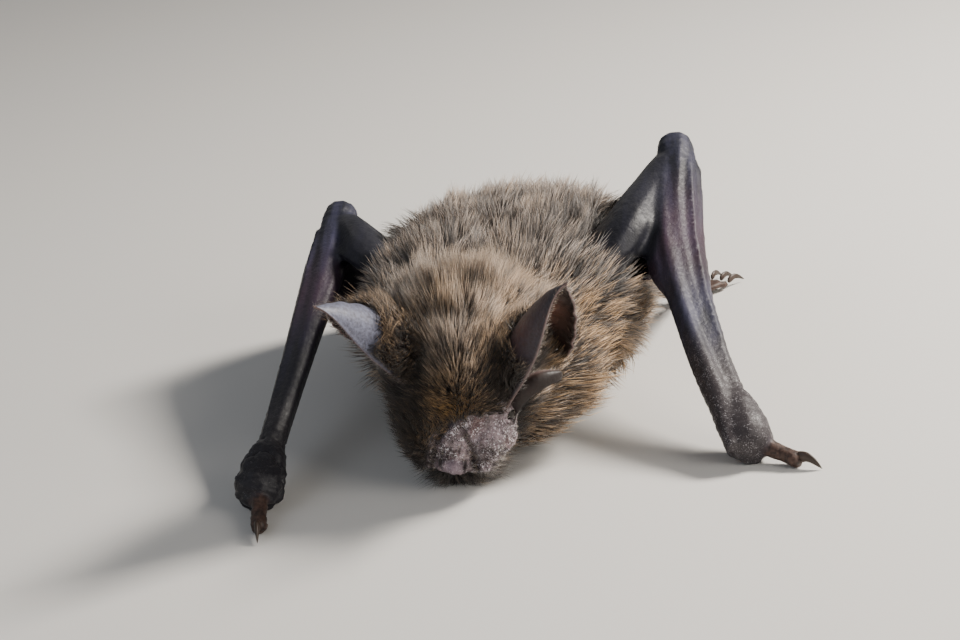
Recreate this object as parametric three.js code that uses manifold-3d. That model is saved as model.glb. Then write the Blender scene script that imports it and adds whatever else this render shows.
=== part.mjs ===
// A small vesper bat, life size: crouched on its belly and wrists with folded wings, head down and turned.
// Millimetres, +Z up. The head points to -Y and the bat's left side is +X.
// Furred solids end at the tips of the coat, bare ones at the skin. Each named part is its own closed body.

import * as THREE from "three";
import { mergeVertices } from "three/addons/utils/BufferGeometryUtils.js";
import Module from "manifold-3d";

const wasm = await Module();
wasm.setup();

// Driving sizes
const HUMERUS = 20.5; // shoulder to elbow
const EAR_LENGTH = 12.2;
const EAR_WIDTH = 11.2; // flattened out, at its widest
const EAR_CURL = 1.9; // radians from the middle of the ear round to each margin
const EAR_HEM = 1.5; // how far the front margin sweeps forward where it comes down to the eye
const TRAGUS_RISE = 7.7; // how steeply it climbs from its root, before it arches over
const TRAGUS_WIDTH = 1.6;
const TRAGUS_BEND = { left: 1.6, right: 0.2 }; // how far its tip leans to the front
const EYE_RADIUS = 0.62;
const SKIN_SHEET = 0.55; // thickness of membranes and ears
const GAP = 0.25; // between neighbouring parts
const FINE_GAP = 0.15; // round eyes and claws
const TAIL_RADIUS = 0.75;
const END_ROUNDING = 0.5; // how far the rings of a limb crowd toward its ends, from 0 to 1

const LEFT = 1;
const RIGHT = -1;
const UP = new THREE.Vector3(0, 0, 1);

const at = (x, y, z) => new THREE.Vector3(x, y, z);
const between = (a, b, t) => a.clone().lerp(b, t);
const toward = (from, to, length) =>
  from.clone().add(to.clone().sub(from).setLength(length));

// Materials
const finish = (color, roughness) =>
  new THREE.MeshStandardMaterial({ color, roughness, metalness: 0 });
const COAT = finish(0x5c4838, 0.85);
const MUZZLE = finish(0x54423f, 0.6);
const EAR_SKIN = finish(0x2f2827, 0.6);
const WING_SKIN = finish(0x2b262b, 0.5);
const FOOT_SKIN = finish(0x3a2d29, 0.6);
const CLAW = finish(0x4a3a2c, 0.35);
const EYE = finish(0x080606, 0.1);

// Shape tools

// Turns a closed geometry into a solid, with its shared vertices merged.
function solidOf(geometry) {
  geometry.deleteAttribute("normal");
  geometry.deleteAttribute("uv");
  const merged = mergeVertices(geometry, 1e-4);
  return new wasm.Manifold(
    new wasm.Mesh({
      numProp: 3,
      vertProperties: new Float32Array(merged.attributes.position.array),
      triVerts: new Uint32Array(merged.index.array),
    }),
  );
}

// Moves every vertex of a geometry to where the warp puts it.
function warped(geometry, warp) {
  const places = geometry.attributes.position;
  for (let i = 0; i < places.count; i++) {
    const moved = warp(places.getX(i), places.getY(i), places.getZ(i));
    places.setXYZ(i, moved.x, moved.y, moved.z);
  }
  return geometry;
}

// A rounded body along a spine. Each station is [point, half width, half height], and the rings of a sphere
// become its sections. blunt is 2 for ends as pointed as those of an ellipse, and more for ends like a rod's.
// square is 2 for oval sections, and more for boxy ones. ridge(angle) swells the section or draws it in.
// grow makes a cutter that clears the body.
function limb(stations, options = {}) {
  const { sides = 10, rings = 10, blunt = 5, square = 2, up = UP, ridge = () => 1, grow = 0 } = options;
  const spine = new THREE.CatmullRomCurve3(stations.map(([point]) => point));
  const girth = new THREE.CatmullRomCurve3(stations.map(([, w, h = w]) => at(w, h, 0)));
  const ball = new THREE.SphereGeometry(1, sides, rings);
  return solidOf(
    warped(ball, (x, y, z) => {
      const height = THREE.MathUtils.clamp(y, -1, 1);
      const share = THREE.MathUtils.lerp(Math.acos(height) / Math.PI, (1 - height) / 2, END_ROUNDING);
      const round = (1 - Math.abs(2 * share - 1) ** blunt) ** (1 / blunt);
      const reach = (Math.abs(x) ** square + Math.abs(z) ** square) ** (1 / square);
      const ring = reach / ridge(Math.atan2(z, x)) || 1;
      const size = girth.getPoint(share);
      const along = spine.getTangent(share);
      const side = along.clone().cross(up).normalize();
      const top = side.clone().cross(along);
      return spine
        .getPoint(share)
        .addScaledVector(along, grow * (2 * share - 1))
        .addScaledVector(side, (-x / ring) * (size.x + grow) * round)
        .addScaledVector(top, (z / ring) * (size.y + grow) * round);
    }),
  );
}

// A curved sheet of even thickness: surface(u, v) gives its middle for u and v from 0 to 1.
function sheet(surface, columns, rows, thickness = SKIN_SHEET) {
  const box = new THREE.BoxGeometry(1, 1, 1, columns, rows, 1);
  const step = 1e-3;
  return solidOf(
    warped(box, (x, y, z) => {
      const [u, v] = [x + 0.5, y + 0.5];
      const [inU, inV] = [u, v].map((share) => THREE.MathUtils.clamp(share, step, 1 - step));
      const across = surface(inU + step, inV).sub(surface(inU - step, inV));
      const along = surface(inU, inV + step).sub(surface(inU, inV - step));
      return surface(u, v).addScaledVector(across.cross(along).normalize(), z * thickness);
    }),
  );
}

// An ellipsoid
const ball = (centre, rx, ry = rx, rz = rx, sides = 8) =>
  solidOf(
    warped(new THREE.SphereGeometry(1, sides, Math.round(sides * 0.7)), (x, y, z) =>
      at(centre.x + x * rx, centre.y + y * ry, centre.z + z * rz),
    ),
  );

const joined = (first, ...rest) => rest.reduce((sum, next) => sum.add(next), first);
const cut = (body, ...cutters) => {
  const left = cutters.reduce((rest, cutter) => rest.subtract(cutter), body);
  return left.decompose().sort((a, b) => b.volume() - a.volume())[0];
};

// Everything below the floor level is cut away, which leaves small flats where the bat rests.
const below = solidOf(new THREE.BoxGeometry(200, 200, 20).translate(0, 0, -10));

const bat = new THREE.Group();

function place(name, solid, material) {
  const { vertProperties, triVerts } = cut(solid, below).getMesh();
  const geometry = new THREE.BufferGeometry()
    .setAttribute("position", new THREE.BufferAttribute(new Float32Array(vertProperties), 3))
    .setIndex(new THREE.BufferAttribute(new Uint32Array(triVerts), 1));
  geometry.computeVertexNormals();
  const mesh = new THREE.Mesh(geometry, material);
  mesh.name = name;
  bat.add(mesh);
}

// The flanks curve in toward the belly: the section is drawn in at its two lower corners.
const FLANK_TUCK = 0.24;
const tuckedFlanks = (angle) =>
  1 - FLANK_TUCK * Math.max(-Math.sin(angle), 0) * Math.abs(Math.sin(2 * angle));

// Trunk and neck, with their coat
const trunk = (grow = 0) =>
  limb(
    [
      [at(-1.8, -6, 5.8), 8.8, 6.0],
      [at(-1.9, -2, 6.9), 11.5, 7.9],
      [at(-1.9, 4, 7.2), 13.1, 8.6],
      [at(-1.7, 11, 7.2), 13.0, 8.6],
      [at(-1.2, 18, 6.9), 12.0, 8.2],
      [at(-0.4, 25, 5.9), 8.8, 6.8],
      [at(0, 30.5, 4.4), 3.4, 3.2],
    ],
    { sides: 20, rings: 13, blunt: 4, square: 2.8, ridge: tuckedFlanks, grow },
  );

const neck = (grow = 0) =>
  limb(
    [
      [at(-1.2, -0.5, 8.6), 7.6, 6.4],
      [at(-0.7, -4.5, 6.6), 9.0, 7.0],
      [at(-0.4, -8.5, 4.3), 7.8, 4.9],
      [at(0.2, -11.8, 2.7), 5.0, 2.9],
    ],
    { sides: 14, rings: 6, blunt: 3, square: 2.5, ridge: tuckedFlanks, grow },
  );

// Head: made facing -Y about the middle of the skull, then turned and set on the neck.
const HEAD_AT = at(-2.8, -8.7, 9.9);
const HEAD_YAW = 8; // degrees, to the bat's right
const HEAD_PITCH = 38; // nose down
const HEAD_ROLL = 12; // left ear down
const headTurn = new THREE.Matrix4()
  .makeRotationFromEuler(
    new THREE.Euler(
      THREE.MathUtils.degToRad(HEAD_PITCH),
      THREE.MathUtils.degToRad(HEAD_ROLL),
      THREE.MathUtils.degToRad(-HEAD_YAW),
      "ZXY",
    ),
  )
  .setPosition(HEAD_AT);
const turned = (solid) => solid.transform(headTurn.elements);
const onHead = (x, y, z) => at(x, y, z).applyMatrix4(headTurn);

const skull = (grow = 0) =>
  turned(
    limb(
      [
        [at(0, 6.2, -1.2), 4.2, 4.0],
        [at(0, 3.2, 0), 6.6, 5.6],
        [at(0, -0.4, 0.2), 6.9, 5.6],
        [at(0, -3.4, -0.6), 5.5, 4.6],
        [at(0, -5.4, -1.3), 4.3, 3.5],
        [at(0, -7.2, -1.7), 3.4, 2.7],
        [at(0, -9.1, -2.0), 1.6, 1.6],
      ],
      { sides: 16, rings: 13, blunt: 3, grow },
    ),
  );

// The swollen glands on each side of the muzzle, the upper lips below them, and the two nostril tubes
const muzzleForms = () =>
  [LEFT, RIGHT].flatMap((side) => [
    turned(ball(at(side * 2.2 + 0.2, -6.6, -1.2), 2.1, 2.3, 1.75)),
    turned(ball(at(side * 1.8 + 0.1, -7.9, -2.25), 1.85, 1.5, 1.3, 7)),
    turned(ball(at(side * 0.7, -8.8, -1.8), 0.85, 1.05, 1.0, 7)),
  ]);

const EYE_AT = (side) => at(side * 3.9, -4.9, -0.1);

function jaw(grow = 0) {
  return turned(
    limb(
      [
        [at(0, -1.8, -5.2), 3.5, 1.8],
        [at(0, -5.2, -4.95), 3.1, 1.6],
        [at(0, -8.6, -4.55), 2.0, 1.15],
      ],
      { sides: 12, rings: 8, blunt: 3, grow },
    ),
  );
}

// Ear: a leaf rolled round its long axis and open at its side. Its three axes meet at its root.
function makeEar(side, tipAt) {
  const root = onHead(side * 5.4, -1.05, 0.45);
  const along = tipAt.clone().sub(root).normalize();
  const opens = at(side * 0.66, -0.34, -0.67);
  const front = opens.addScaledVector(along, -opens.dot(along)).normalize();
  const across = along.clone().cross(front).multiplyScalar(side);
  return (x, y, z) =>
    root.clone().addScaledVector(across, x).addScaledVector(front, y).addScaledVector(along, z);
}
const EARS = {
  left: makeEar(LEFT, at(7.2, -16.7, 17.6)),
  right: makeEar(RIGHT, at(-12.4, -18.5, 17.9)),
};

// u runs from the ear's front margin to its rear one, and v from its root to its tip
const earSurface = (inEar) => (u, v) => {
  const height = THREE.MathUtils.clamp(v, 0, 1);
  const width = EAR_WIDTH * Math.max(1 - height ** 2, 0.05);
  const curl = EAR_CURL - 1.1 * height ** 4;
  const radius = width / 2 / curl;
  const lean = 2 * u - 1;
  const turn = lean * curl;
  const rise = EAR_LENGTH * v * (1 - 0.05 * lean);
  const hem = EAR_HEM * Math.max(-lean, 0) ** 2 * Math.max(1 - 2.2 * height, 0) ** 1.5;
  return inEar(radius * Math.sin(turn) - hem, radius * (0.1 - Math.cos(turn)), rise);
};

// Tragus: a blade that starts at the corner of the eye and arches outward across the ear's opening
const tragusSurface = (inEar, bend) => (u, v) => {
  const width = TRAGUS_WIDTH * Math.sqrt(Math.max(1 - 0.9 * v ** 3, 0.05));
  return inEar(
    -3.7 + 3.8 * Math.max(v, 0) ** 1.5,
    0.55 + bend * v * v + (u - 0.1) * width,
    TRAGUS_RISE * (v - 0.71 * v * v) - 0.5 * u,
  );
};

// Arms. Each side has its own reach, as in a crawl, with 34 to 35 mm from elbow to wrist.
const ARMS = {
  left: {
    side: LEFT,
    shoulder: at(6, 1, 10.5),
    elbow: at(13.6, 19.3, 17.5),
    wrist: at(18.9, -10.7, 1.9),
    bow: 2.2,
    crook: 0.24, // share of the forearm that the front membrane reaches down
    thumb: at(4.0, -1.9, -1.4),
  },
  right: {
    side: RIGHT,
    shoulder: at(-8.4, 1, 10.5),
    elbow: at(-17.6, 18.3, 13.3),
    wrist: at(-19.9, -14.3, 1.9),
    bow: 0.3,
    crook: 0.4,
    thumb: at(0.8, -5.1, -1.4),
  },
};
for (const arm of Object.values(ARMS)) {
  arm.elbow = toward(arm.shoulder, arm.elbow, HUMERUS);
  arm.reach = arm.wrist.clone().sub(arm.elbow);
  arm.along = arm.reach.clone().normalize();
  // out points from the forearm to the folded fingers, on its outer lower side
  const outward = at(arm.side, 0.25, -0.55);
  arm.out = outward.addScaledVector(arm.along, -outward.dot(arm.along)).normalize();
  arm.flank = arm.along.clone().cross(arm.out).multiplyScalar(arm.side);
  // a point beside the forearm: share of its length from the elbow, then out and flank
  arm.beside = (share, out, flank) =>
    arm.elbow
      .clone()
      .addScaledVector(arm.reach, share)
      .addScaledVector(arm.out, out - arm.bow * Math.sin(Math.PI * THREE.MathUtils.clamp(share, 0, 1)))
      .addScaledVector(arm.flank, flank);
}

const upperArm = ({ shoulder, elbow }, grow = 0) =>
  limb(
    [
      [between(shoulder, elbow, 0.05), 3.4, 3.2],
      [between(shoulder, elbow, 0.35), 2.9, 2.6],
      [between(shoulder, elbow, 0.7), 1.8, 1.6],
      [between(shoulder, elbow, 0.94), 1.4, 1.4],
    ],
    { sides: 12, rings: 8, grow },
  );

const forearm = ({ beside }, grow = 0) =>
  limb(
    [
      [beside(-0.045, -0.1, 0), 1.5, 1.4],
      [beside(0.06, -0.2, 0), 1.7, 1.6],
      [beside(0.25, -0.3, 0), 1.4, 1.35],
      [beside(0.5, -0.2, 0), 1.1, 1.1],
      [beside(0.72, -0.1, 0), 0.95, 1.0],
      [beside(0.93, 0.2, 0), 1.2, 1.2],
    ],
    { sides: 10, rings: 10, blunt: 7, grow },
  );

// Folded hand: the wrist, and the long fingers laid back along the forearm, whose bones show as ridges
const FINGER_RIDGES = 3;
const fingerRidge = (angle) => 1 + 0.1 * Math.cos(angle * FINGER_RIDGES * 2);
function hand({ beside, wrist }) {
  const fingers = limb(
    [
      [beside(0.96, 0.3, 0), 1.35, 1.3],
      [beside(0.75, 0.5, 0), 1.0, 1.15],
      [beside(0.5, 0.6, 0), 1.2, 1.35],
      [beside(0.25, 0.7, 0), 1.45, 1.6],
      [beside(0.1, 0.6, 0), 1.5, 1.7],
      [beside(0.02, 0.4, 0), 1.1, 1.2],
    ],
    { sides: 12, rings: 8, blunt: 5, ridge: fingerRidge },
  );
  const carpus = limb(
    [
      [beside(0.82, 0.3, 0), 1.35, 1.35],
      [wrist, 1.95, 2.0],
      [beside(1.055, -0.1, 0), 1.5, 1.4],
    ],
    { sides: 12, rings: 7, blunt: 2.6 },
  );
  return joined(carpus, fingers);
}

// Thumb, laid on the floor, with its hooked claw
const THUMB_SHARES = [0.3, 0.62, 1.05];
const thumb = ({ wrist, thumb: reach }, grow = 0) =>
  limb(
    [
      [wrist.clone().addScaledVector(reach, THUMB_SHARES[0]), 0.75],
      [wrist.clone().addScaledVector(reach, THUMB_SHARES[1]), 0.6],
      [wrist.clone().addScaledVector(reach, THUMB_SHARES[2]), 0.78, 0.72],
    ],
    { sides: 10, rings: 8, blunt: 4, grow },
  );

// A hooked claw that leaves the end of a toe along reach and curves down to the floor
function claw(end, reach, length, radius) {
  const ahead = reach.clone().setLength(length);
  const root = toward(end, end.clone().add(reach), FINE_GAP);
  return limb(
    [
      [root, radius],
      [root.clone().addScaledVector(ahead, 0.5).add(at(0, 0, 0.25)), radius * 0.75],
      [root.clone().add(ahead).setZ(0.02), radius * 0.34],
    ],
    { sides: 5, rings: 4, blunt: 3 },
  );
}

// Front membrane: fills the fold of the elbow, on the front of the upper arm. Its free edge arches from the
// forearm up to the crook and down again to the shoulder.
function frontMembrane({ shoulder, elbow, beside, side, crook: reach }) {
  const chest = shoulder.clone().add(at(side * 4.2, -1, 0.5));
  return sheet(
    (u, v) => {
      const arch = 1 - 0.5 * Math.max(Math.sin(Math.PI * u), 0) ** 0.7;
      const down = 0.04 + v * reach * arch;
      const bulge = Math.sin(Math.PI * u) * (0.3 + 0.9 * v);
      const inner = between(elbow, chest, Math.min(down * 1.3, 1));
      return between(inner, beside(down, -0.1, 0), u).add(at(-0.2 * side * bulge, -0.6 * bulge, 0.3 * bulge));
    },
    6,
    6,
    SKIN_SHEET * 1.2,
  );
}

// Wing membrane: gathered in folds between the folded fingers, the flank and the ankle
function wingMembrane({ beside, side }, { ankle, hip }) {
  const flank = new THREE.CatmullRomCurve3([
    at(side * 10 - 1, 5, 9),
    at(side * 10 - 0.8, 12, 8.6),
    at(side * 8.6, 18.5, 7.6),
    between(hip, ankle, 0.35).add(at(0, 0, 1.2)),
  ]);
  const edge = new THREE.CatmullRomCurve3([
    beside(0.32, 0.9, 0.1),
    beside(0.12, 0.9, 0.1),
    beside(-0.04, 0.9, -0.2),
    between(beside(-0.05, 1, -0.5), ankle, 0.5).add(at(side * 0.6, 1.4, 0)),
    ankle.clone().add(at(side * -0.4, 0.4, 0.9)),
  ]);
  return sheet(
    (u, v) => {
      const sag = Math.sin(Math.PI * THREE.MathUtils.clamp(u, 0, 1));
      const fold = 0.5 * sag * Math.sin(v * 13 + u * 3);
      return between(flank.getPoint(v), edge.getPoint(v), u).add(
        at(side * fold * 0.5, fold * 0.3, -2.2 * sag * (1 - 0.5 * v) + fold),
      );
    },
    6,
    10,
  );
}

// Hind legs
const LEGS = {
  left: {
    side: LEFT,
    hip: at(4.4, 24, 6.2),
    knee: at(13.0, 14.0, 6.6),
    ankle: at(12.4, 25.6, 2.0),
    toes: at(2.4, 5.6, 0),
  },
  right: {
    side: RIGHT,
    hip: at(-4.6, 24, 6.2),
    knee: at(-14.6, 15.2, 6.6),
    ankle: at(-14.2, 27.4, 2.0),
    toes: at(-2.8, 5.6, 0),
  },
};

const thigh = ({ hip, knee }, grow = 0) =>
  limb(
    [
      [between(hip, knee, 0.1), 2.9, 2.6],
      [between(hip, knee, 0.55), 2.1, 1.8],
      [between(hip, knee, 0.98), 1.15, 1.05],
    ],
    { sides: 10, rings: 7, grow },
  );

const shin = ({ knee, ankle }, grow = 0) =>
  limb(
    [
      [between(knee, ankle, 0.04), 1.05, 0.95],
      [between(knee, ankle, 0.35), 0.9, 0.85],
      [between(knee, ankle, 0.75), 0.62, 0.6],
      [between(knee, ankle, 0.97), 0.75, 0.7],
    ],
    { sides: 8, rings: 8, grow },
  );

const TOES = 5;
const TOE_RADIUS = 0.42;
const toeRoot = ({ ankle, toes }, i) => {
  const spread = (i / (TOES - 1) - 0.5) * 2;
  const ahead = toes.clone().normalize();
  const across = at(ahead.y, -ahead.x, 0);
  return {
    start: ankle.clone().addScaledVector(ahead, 2.0).addScaledVector(across, spread * 0.9).setZ(0.7),
    end: ankle
      .clone()
      .addScaledVector(ahead, 5.4 - 0.5 * spread * spread)
      .addScaledVector(across, spread * 2.0)
      .setZ(0.32),
    reach: ahead.clone().addScaledVector(across, spread * 0.32),
  };
};

function foot(leg) {
  const { ankle, toes } = leg;
  const ahead = toes.clone().normalize();
  const sole = limb(
    [
      [ankle.clone().addScaledVector(ahead, -0.5), 0.8, 0.85],
      [ankle.clone().addScaledVector(ahead, 1.1).setZ(1.05), 1.05, 0.8],
      [ankle.clone().addScaledVector(ahead, 2.8).setZ(0.55), 1.35, 0.65],
    ],
    { sides: 8, rings: 6, blunt: 3 },
  );
  const toeBodies = Array.from({ length: TOES }, (_, i) => {
    const { start, end } = toeRoot(leg, i);
    return limb(
      [
        [start, TOE_RADIUS],
        [between(start, end, 0.55).add(at(0, 0, 0.3)), TOE_RADIUS * 0.9],
        [end, TOE_RADIUS * 0.9],
      ],
      { sides: 5, rings: 4, blunt: 4 },
    );
  });
  return joined(sole, ...toeBodies);
}

// Tail, curving to one side along the floor
const TAIL = [at(0, 29.6, 4.2), at(0.2, 34, 2.6), at(1.2, 41, 1.1), at(3.4, 48, 0.56), at(6.2, 53, 0.39)];
const tail = (grow = 0) =>
  limb(
    TAIL.map((point, i) => [point, TAIL_RADIUS * (1.5 - 0.24 * i)]),
    { sides: 8, rings: 12, grow },
  );

// Tail membrane: one half, from the tail to the leg, its free edge stiffened by the heel spur
function tailMembrane({ side, ankle, hip }) {
  const tailLine = new THREE.CatmullRomCurve3(TAIL.slice(0, 4));
  const legLine = new THREE.CatmullRomCurve3([
    between(hip, ankle, 0.3).add(at(0, 1.2, -0.6)),
    between(hip, ankle, 0.7).add(at(0, 0.8, 0)),
    ankle.clone().add(at(side * -0.3, 0.5, 0)),
  ]);
  return sheet(
    (u, v) => {
      const hollow = Math.sin(Math.PI * THREE.MathUtils.clamp(u, 0, 1));
      const point = between(tailLine.getPoint(v), legLine.getPoint(v), u);
      point.y -= hollow * 4.2 * v * v;
      point.z += hollow * (0.8 * (1 - v) + 0.25 * Math.sin(u * 16 + v * 3));
      point.z = Math.max(point.z, SKIN_SHEET / 2 + 0.02);
      return point;
    },
    7,
    6,
  );
}

// Assembly: each part is cut clear of the ones that were there before it.
const NAMES = ["left", "right"];

const headCutter = joined(skull(GAP), ...muzzleForms());
const sockets = [LEFT, RIGHT].map((side) => turned(ball(EYE_AT(side), EYE_RADIUS + FINE_GAP)));
place("head", cut(joined(skull(), ...muzzleForms()), jaw(FINE_GAP), ...sockets), COAT);
place("lower_jaw", jaw(), MUZZLE);
place("neck", cut(neck(), headCutter, jaw(GAP)), COAT);
place("trunk", cut(trunk(), headCutter, neck(GAP)), COAT);
place("tail", cut(tail(), trunk(GAP)), WING_SKIN);

for (const name of NAMES) {
  const ear = EARS[name];
  const arm = ARMS[name];
  const leg = LEGS[name];
  const torso = [trunk(GAP), neck(GAP), headCutter];
  const bones = [upperArm(arm, GAP), forearm(arm, GAP)];
  const legBones = [thigh(leg, GAP), shin(leg, GAP)];

  place(`${name}_eye`, turned(ball(EYE_AT(arm.side), EYE_RADIUS)), EYE);
  const leaf = (thickness) => sheet(earSurface(ear), 8, 7, thickness);
  place(`${name}_ear`, cut(leaf(SKIN_SHEET), ...torso), EAR_SKIN);
  const tragus = sheet(tragusSurface(ear, TRAGUS_BEND[name]), 2, 6);
  place(`${name}_tragus`, cut(tragus, ...torso, leaf(SKIN_SHEET + 2 * GAP)), EAR_SKIN);

  const crook = frontMembrane(arm).subtract(bones[1]);
  place(`${name}_upper_arm`, cut(joined(upperArm(arm), crook), ...torso), WING_SKIN);
  place(`${name}_forearm`, cut(forearm(arm), bones[0], trunk(GAP)), WING_SKIN);
  place(`${name}_folded_hand`, cut(hand(arm), ...bones, thumb(arm, GAP)), WING_SKIN);
  const thumbEnd = arm.wrist.clone().addScaledVector(arm.thumb, THUMB_SHARES[2]);
  place(`${name}_thumb`, thumb(arm), WING_SKIN);
  place(`${name}_thumb_claw`, claw(thumbEnd, arm.thumb, 1.9, 0.42), CLAW);

  place(`${name}_thigh`, cut(thigh(leg), ...torso), COAT);
  place(`${name}_shin`, cut(shin(leg), legBones[0], trunk(GAP)), WING_SKIN);
  place(`${name}_foot`, cut(foot(leg), legBones[1]), FOOT_SKIN);
  for (let i = 0; i < TOES; i++) {
    const { end, reach } = toeRoot(leg, i);
    place(`${name}_toe_claw_${i + 1}`, claw(end, reach, 1.9, 0.3), CLAW);
  }

  const limbs = [...bones, ...legBones, hand(arm), foot(leg)];
  place(`${name}_wing_membrane`, cut(wingMembrane(arm, leg), trunk(GAP), ...limbs), WING_SKIN);
  place(
    `${name}_tail_membrane`,
    cut(tailMembrane(leg), trunk(GAP), tail(GAP), ...legBones, foot(leg)),
    WING_SKIN,
  );
}

// The origin is the middle of the underside's bounding rectangle, at floor level.
const box = new THREE.Box3().setFromObject(bat);
const middle = box.getCenter(at(0, 0, 0));
bat.position.set(-middle.x, -middle.y, -box.min.z);

const part = new THREE.Group();
part.add(bat);

export default part;
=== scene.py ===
import math

import bmesh
import bpy
import numpy as np
from mathutils import Matrix, Quaternion, Vector
from mathutils.bvhtree import BVHTree
from mathutils.kdtree import KDTree


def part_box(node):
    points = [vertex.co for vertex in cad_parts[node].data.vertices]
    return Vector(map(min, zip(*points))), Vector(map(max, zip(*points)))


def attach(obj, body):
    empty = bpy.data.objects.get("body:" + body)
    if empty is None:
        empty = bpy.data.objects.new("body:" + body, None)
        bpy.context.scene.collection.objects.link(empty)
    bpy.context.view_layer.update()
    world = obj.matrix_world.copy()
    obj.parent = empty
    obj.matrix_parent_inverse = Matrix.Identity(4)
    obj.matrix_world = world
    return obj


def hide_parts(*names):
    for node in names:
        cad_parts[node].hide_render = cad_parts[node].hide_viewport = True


# Crouching vesper bat: one skin over the frame's flesh, a coat of solid hair tufts, eyes and claws.
# Shapes are worked out in millimetres and turned into metres when their mesh is made.

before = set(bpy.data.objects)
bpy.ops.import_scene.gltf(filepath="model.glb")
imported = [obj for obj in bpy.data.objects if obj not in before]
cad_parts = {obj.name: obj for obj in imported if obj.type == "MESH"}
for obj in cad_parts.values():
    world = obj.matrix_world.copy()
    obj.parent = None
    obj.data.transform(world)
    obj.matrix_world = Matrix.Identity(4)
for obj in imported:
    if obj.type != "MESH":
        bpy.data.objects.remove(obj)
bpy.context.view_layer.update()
scene = bpy.context.scene
mm = 0.001
sides = dict(left=1, right=-1)
coatNodes = ["head", "neck", "trunk", "lower_jaw", "left_thigh", "right_thigh"]


def bothSides(*parts):
    return [side + part for side in sides for part in parts]


# small maths helpers

def smooth(low, high, x):
    t = np.clip((x - low) / (high - low), 0, 1)
    return t * t * (3 - 2 * t)


def bell(x, centre, width):
    return np.exp(-(((x - centre) / width) ** 2))


def unit(vectors):
    return vectors / np.maximum(np.linalg.norm(vectors, axis=-1, keepdims=True), 1e-9)


def dot(a, b):
    return (a * b).sum(-1)


def lengthOf(vectors):
    return np.linalg.norm(vectors, axis=-1)


def blob(points, spot, size):
    # 1 at the spot, falling off softly over that size
    return bell(lengthOf(points - np.array(spot)), 0, size)


def ripple(points, size, seed, waves=9):
    # soft noise from -1 to 1, made of crossed sine waves of about that size
    dice = np.random.default_rng(seed)
    total = np.zeros(len(points))
    for _ in range(waves):
        run = unit(dice.normal(size=3)) * 2 * math.pi / (size * dice.uniform(0.7, 1.8))
        total += np.sin(points @ run + dice.uniform(0, 6.28))
    return np.clip(total / math.sqrt(waves) * 0.9, -1, 1)


def nodeMesh(name, swell=0.0):
    # a frame node's points in millimetres and its faces, welded and swollen a little
    bm = bmesh.new()
    bm.from_mesh(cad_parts[name].data)
    bmesh.ops.remove_doubles(bm, verts=bm.verts, dist=1e-6)
    bm.normal_update()
    points = np.array([v.co * 1000 + v.normal * swell for v in bm.verts])
    faces = [[v.index for v in f.verts] for f in bm.faces]
    bm.free()
    return points, faces


def gathered(names, swell=0.0):
    allPoints, allFaces, owner, start = [], [], [], 0
    for number, name in enumerate(names):
        points, faces = nodeMesh(name, swell)
        allPoints.append(points)
        allFaces += [[i + start for i in f] for f in faces]
        owner += [number] * len(faces)
        start += len(points)
    return np.concatenate(allPoints), allFaces, np.array(owner)


def endsOf(name):
    # the two ends of a long node, along its longest direction, the higher one first
    points, _ = nodeMesh(name)
    middle = points.mean(0)
    along = np.linalg.svd(points - middle, full_matrices=False)[2][0]
    reach = (points - middle) @ along
    a, b = middle + along * reach.min(), middle + along * reach.max()
    return (a, b) if a[2] > b[2] else (b, a)


def centreOf(name):
    low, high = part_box(name)
    return np.array((low + high) / 2) * 1000


# head frame: x to the bat's left, -y to the nose, z to the crown
headPose = dict(yaw=8, pitch=38, roll=12, eyeForward=4.9, eyeUp=-0.1)
headTurn = np.array(Matrix.Rotation(math.radians(-headPose["yaw"]), 3, "Z")
                    @ Matrix.Rotation(math.radians(headPose["pitch"]), 3, "X")
                    @ Matrix.Rotation(math.radians(headPose["roll"]), 3, "Y"))
eyeMiddle = (centreOf("left_eye") + centreOf("right_eye")) / 2
headAt = eyeMiddle - headTurn @ np.array([0, -headPose["eyeForward"], headPose["eyeUp"]])


def toHead(points):
    return (points - headAt) @ headTurn


def fromHead(x, y, z):
    return headAt + headTurn @ np.array([x, y, z])


def put(name, data):
    thing = bpy.data.objects.new(name, data)
    scene.collection.objects.link(thing)
    return thing


# camera, light and floor

view = dict(azimuth=9.96, elevation=20, roll=-7.5, distance=188.2, lens=86.9,
            aim=(-3.72, -20.01, 10.99))


def placeCamera():
    a, e = math.radians(view["azimuth"]), math.radians(view["elevation"])
    back = Vector((math.sin(a) * math.cos(e), -math.cos(a) * math.cos(e), math.sin(e)))
    camera = put("camera", bpy.data.cameras.new("camera"))
    camera.data.lens = view["lens"]
    camera.data.clip_start = 0.01
    camera.data.clip_end = 10
    camera.location = (Vector(view["aim"]) + back * view["distance"]) * mm
    camera.rotation_mode = "QUATERNION"
    level = (-back).to_track_quat("-Z", "Y")
    camera.rotation_quaternion = level @ Quaternion((0, 0, 1), math.radians(view["roll"]))
    scene.camera = camera


studio = dict(
    key=dict(at=(180, 60, 160), size=60, watts=1.4, colour=(1.0, 0.94, 0.86)),
    side=dict(at=(190, -150, 110), size=120, watts=0.32, colour=(1.0, 0.95, 0.88)),
    fill=dict(at=(-190, -150, 160), size=220, watts=0.14, colour=(0.8, 0.88, 1.0)),
    sky=0.2, skyColour=(0.86, 0.88, 0.9, 1),
    floorColour=(0.72, 0.70, 0.67, 1), floorRoughness=0.8, floorSize=3,
)


def lightStudio():
    for name in ("key", "side", "fill"):
        lamp = studio[name]
        light = put(name + "Light", bpy.data.lights.new(name, "AREA"))
        light.data.size = lamp["size"] * mm
        light.data.energy = lamp["watts"]
        light.data.color = lamp["colour"]
        light.location = Vector(lamp["at"]) * mm
        light.rotation_euler = (-Vector(lamp["at"])).to_track_quat("-Z", "Y").to_euler()
    world = bpy.data.worlds.new("paleStudio")
    world.use_nodes = True
    sky = world.node_tree.nodes["Background"].inputs
    sky["Color"].default_value = studio["skyColour"]
    sky["Strength"].default_value = studio["sky"]
    scene.world = world


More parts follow.
